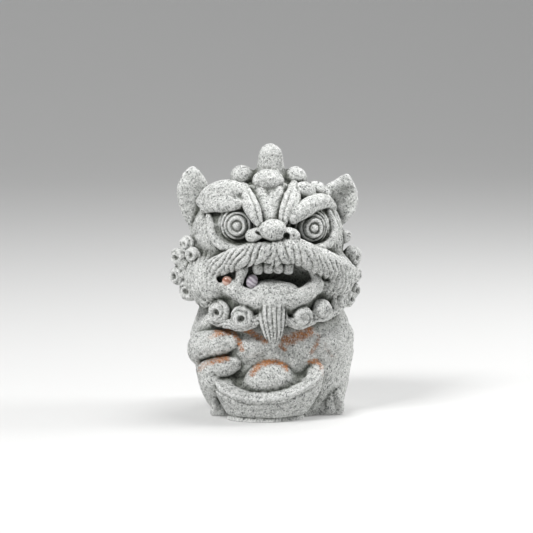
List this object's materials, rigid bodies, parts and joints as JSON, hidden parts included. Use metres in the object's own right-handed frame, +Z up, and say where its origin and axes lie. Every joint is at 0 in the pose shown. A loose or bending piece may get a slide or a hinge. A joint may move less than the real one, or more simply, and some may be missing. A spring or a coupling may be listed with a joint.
{
  "type": "guardian lion statuette",
  "caption": "Squat stone guardian lion with a wide horned head, open mouth, curled mane and a boat-shaped ingot held between its front paws.",
  "frame": {"origin": "on the ground, in the flat underside of the body, under the middle of the statuette", "axes": "+Z up, the lion faces -Y, and +X is the lion's own left"},
  "size_m": [0.0521, 0.0428, 0.0699],
  "materials": {
    "stone": "rough",
    "pebble_brown": "polished",
    "pebble_grey": "polished"
  },
  "bodies": {
    "root": {"mouth_pebble_brown": "pebble_brown", "mouth_pebble_grey": "pebble_grey", "left_eye": "stone", "right_eye": "stone", "nose": "stone", "forehead_boss": "stone", "ingot_dome": "stone", "beard": "stone", "tongue": "stone", "upper_teeth": "stone", "left_mouth_post": "stone", "right_mouth_post": "stone", "horn": "stone", "left_ear": "stone", "right_ear": "stone", "left_nostril": "stone", "right_nostril": "stone", "left_eyelid": "stone", "right_eyelid": "stone", "left_inner_brow": "stone", "right_inner_brow": "stone", "left_outer_brow": "stone", "right_outer_brow": "stone", "forehead_plate": "stone", "left_crest_lobe": "stone", "right_crest_lobe": "stone", "lower_lip": "stone", "left_moustache": "stone", "right_moustache": "stone", "left_chin_curls": "stone", "right_chin_curls": "stone", "left_cheek_curls": "stone", "right_cheek_curls": "stone", "ingot_bowl": "stone", "ingot_foot": "stone", "left_front_paw": "stone", "right_front_paw": "stone", "left_foreleg": "stone", "right_foreleg": "stone", "left_hind_foot": "stone", "right_hind_foot": "stone", "left_haunch": "stone", "right_haunch": "stone", "chest_bib": "stone", "tail": "stone", "lower_jaw": "stone", "left_cheek": "stone", "right_cheek": "stone", "skull": "stone", "nape_mane": "stone", "body": "stone"}
  },
  "joints": []
}
